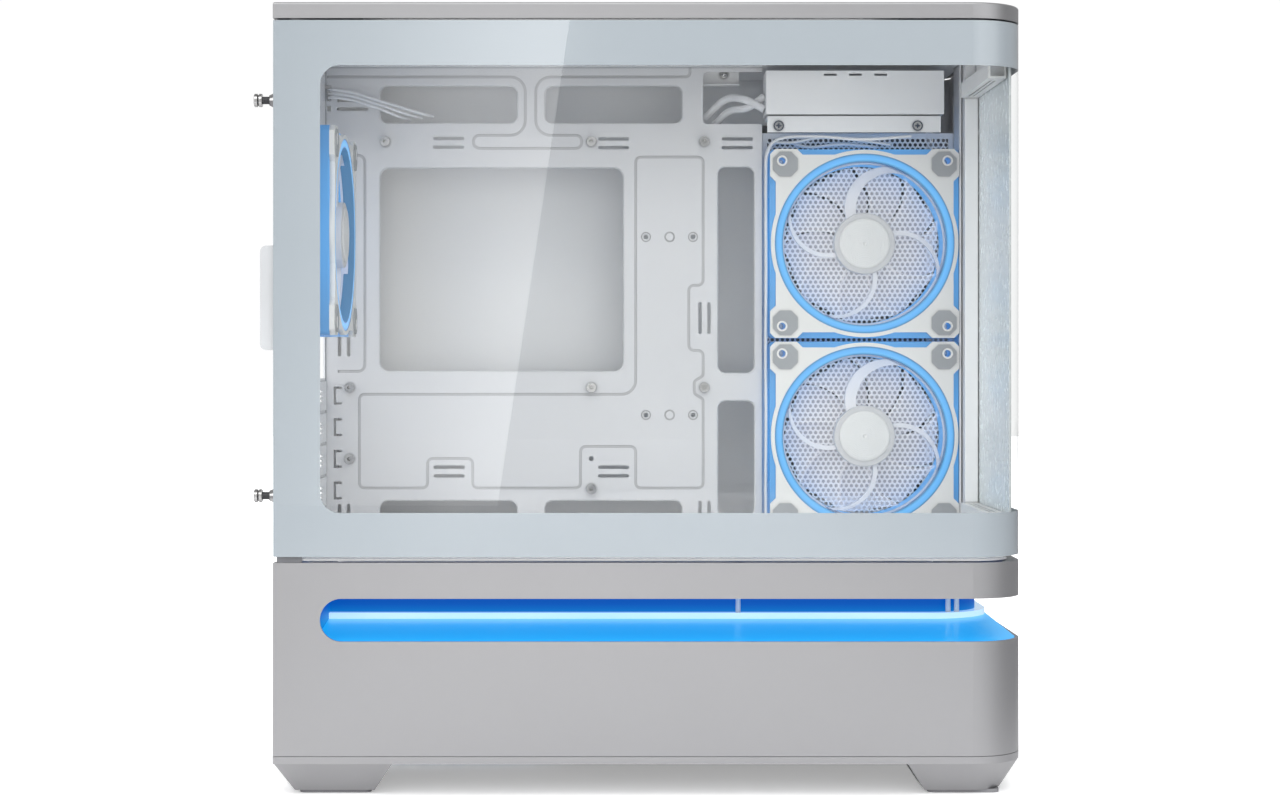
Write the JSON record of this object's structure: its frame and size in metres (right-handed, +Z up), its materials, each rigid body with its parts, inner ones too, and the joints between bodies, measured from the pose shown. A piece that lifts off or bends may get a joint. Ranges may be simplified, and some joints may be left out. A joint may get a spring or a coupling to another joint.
{
  "type": "computer case",
  "caption": "Compact tower computer case with a bent glass side, a motherboard tray, lit fans and a lit slot in its silver lower body.",
  "frame": {"origin": "on the ground under the middle of the whole box, thumbscrews included", "axes": "+Z up, +X to the front of the case, -Y out of the glass side"},
  "size_m": [0.4306, 0.285, 0.4405],
  "materials": {
    "silver_body": "satin silver paint",
    "white_steel": "fine textured white powder coat",
    "white_plastic": "smooth off white moulding",
    "clear_glass": "tempered, bent, polished edges",
    "printed_border": "blue grey ceramic print behind glass",
    "light_ring": "lit diffuser",
    "light_bar": "lit glossy diffuser",
    "lit_floor": "white floor washed by blue light",
    "lit_wall": "dark wall washed by blue light",
    "blue_frame": "milky frame lit from inside",
    "strut_plastic": "frosted moulding",
    "blade_plastic": "frosted translucent blades",
    "grey_rubber": "matte grey",
    "foot_rubber": "matte grey",
    "plated_steel": "bright nickel plate",
    "board": "circuit board",
    "lead_jacket": "white soft jacket"
  },
  "bodies": {
    "root": {"base_pan": "silver_body", "chamber_floor": "white_steel", "fan_corner_pads": "grey_rubber", "fan_screws": "plated_steel", "feet": "silver_body", "filter_rails": "white_plastic", "foot_pads": "foot_rubber", "front_board": "board", "front_bottom_rail": "white_plastic", "front_fascia": "silver_body", "front_pillar": "white_steel", "front_top_rail": "white_plastic", "hub_cover": "white_steel", "hub_leads": "lead_jacket", "hub_plate": "white_steel", "interior_screws": "plated_steel", "light_floor": "lit_floor", "light_posts": "white_plastic", "light_strip": "light_bar", "light_wall": "lit_wall", "lower_fan_bezel": "white_plastic", "lower_fan_frame": "blue_frame", "lower_fan_ring": "light_ring", "lower_fan_stator": "strut_plastic", "lower_shell": "silver_body", "motherboard_tray": "white_steel", "ports": "plated_steel", "psu_bracket": "white_steel", "rear_fan_bezel": "white_plastic", "rear_fan_frame": "blue_frame", "rear_fan_leads": "lead_jacket", "rear_fan_ring": "light_ring", "rear_fan_stator": "strut_plastic", "rear_panel": "white_steel", "roof_frame": "white_steel", "side_fan_bracket": "white_steel", "side_fan_lead": "lead_jacket", "slot_covers": "white_steel", "standoffs": "plated_steel", "top_cover": "silver_body", "top_grille": "white_steel", "upper_fan_bezel": "white_plastic", "upper_fan_frame": "blue_frame", "upper_fan_ring": "light_ring", "upper_fan_stator": "strut_plastic"},
    "glass_side": {"glass_pane": "clear_glass", "glass_border": "printed_border", "glass_carrier": "white_steel", "pull_tab": "grey_rubber"},
    "right_side": {"right_side_panel": "white_steel"},
    "dust_filter": {"psu_filter": "white_plastic"},
    "power_key": {"power_button": "silver_body"},
    "light_key": {"light_button": "silver_body"},
    "upper_fan_wheel": {"upper_fan_rotor": "blade_plastic"},
    "lower_fan_wheel": {"lower_fan_rotor": "blade_plastic"},
    "rear_fan_wheel": {"rear_fan_rotor": "blade_plastic"},
    "screw_left_top": {"thumbscrew_left_top": "plated_steel"},
    "screw_left_bottom": {"thumbscrew_left_bottom": "plated_steel"},
    "screw_right_top": {"thumbscrew_right_top": "plated_steel"},
    "screw_right_bottom": {"thumbscrew_right_bottom": "plated_steel"}
  },
  "joints": [
    {"name": "glass_pull", "type": "slide", "parent": "root", "child": "glass_side", "axis": [0, -1, 0], "range_m": [0, 0.16]},
    {"name": "right_pull", "type": "slide", "parent": "root", "child": "right_side", "axis": [0, 1, 0], "range_m": [0, 0.12]},
    {"name": "filter_pull", "type": "slide", "parent": "root", "child": "dust_filter", "axis": [-1, 0, 0], "range_m": [0, 0.15]},
    {"name": "power_press", "type": "slide", "parent": "root", "child": "power_key", "axis": [-1, 0, 0], "range_m": [0, 0.0015], "stiffness_N_per_m": 900},
    {"name": "light_press", "type": "slide", "parent": "root", "child": "light_key", "axis": [-1, 0, 0], "range_m": [0, 0.0015], "stiffness_N_per_m": 900},
    {"name": "upper_fan_spin", "type": "hinge", "parent": "root", "child": "upper_fan_wheel", "pos_m": [0.1464, 0.0475, 0.3161], "axis": [0, -1, 0], "continuous": true},
    {"name": "lower_fan_spin", "type": "hinge", "parent": "root", "child": "lower_fan_wheel", "pos_m": [0.1464, 0.0475, 0.1937], "axis": [0, -1, 0], "continuous": true},
    {"name": "rear_fan_spin", "type": "hinge", "parent": "root", "child": "rear_fan_wheel", "pos_m": [-0.173, -0.0455, 0.3164], "axis": [1, 0, 0], "continuous": true},
    {"name": "turn_left_top", "type": "hinge", "parent": "root", "child": "screw_left_top", "pos_m": [-0.203, -0.1295, 0.3873], "axis": [-1, 0, 0], "continuous": true},
    {"name": "turn_left_bottom", "type": "hinge", "parent": "root", "child": "screw_left_bottom", "pos_m": [-0.203, -0.1295, 0.1662], "axis": [-1, 0, 0], "continuous": true},
    {"name": "turn_right_top", "type": "hinge", "parent": "root", "child": "screw_right_top", "pos_m": [-0.203, 0.1295, 0.3873], "axis": [-1, 0, 0], "continuous": true},
    {"name": "turn_right_bottom", "type": "hinge", "parent": "root", "child": "screw_right_bottom", "pos_m": [-0.203, 0.1295, 0.1662], "axis": [-1, 0, 0], "continuous": true}
  ]
}
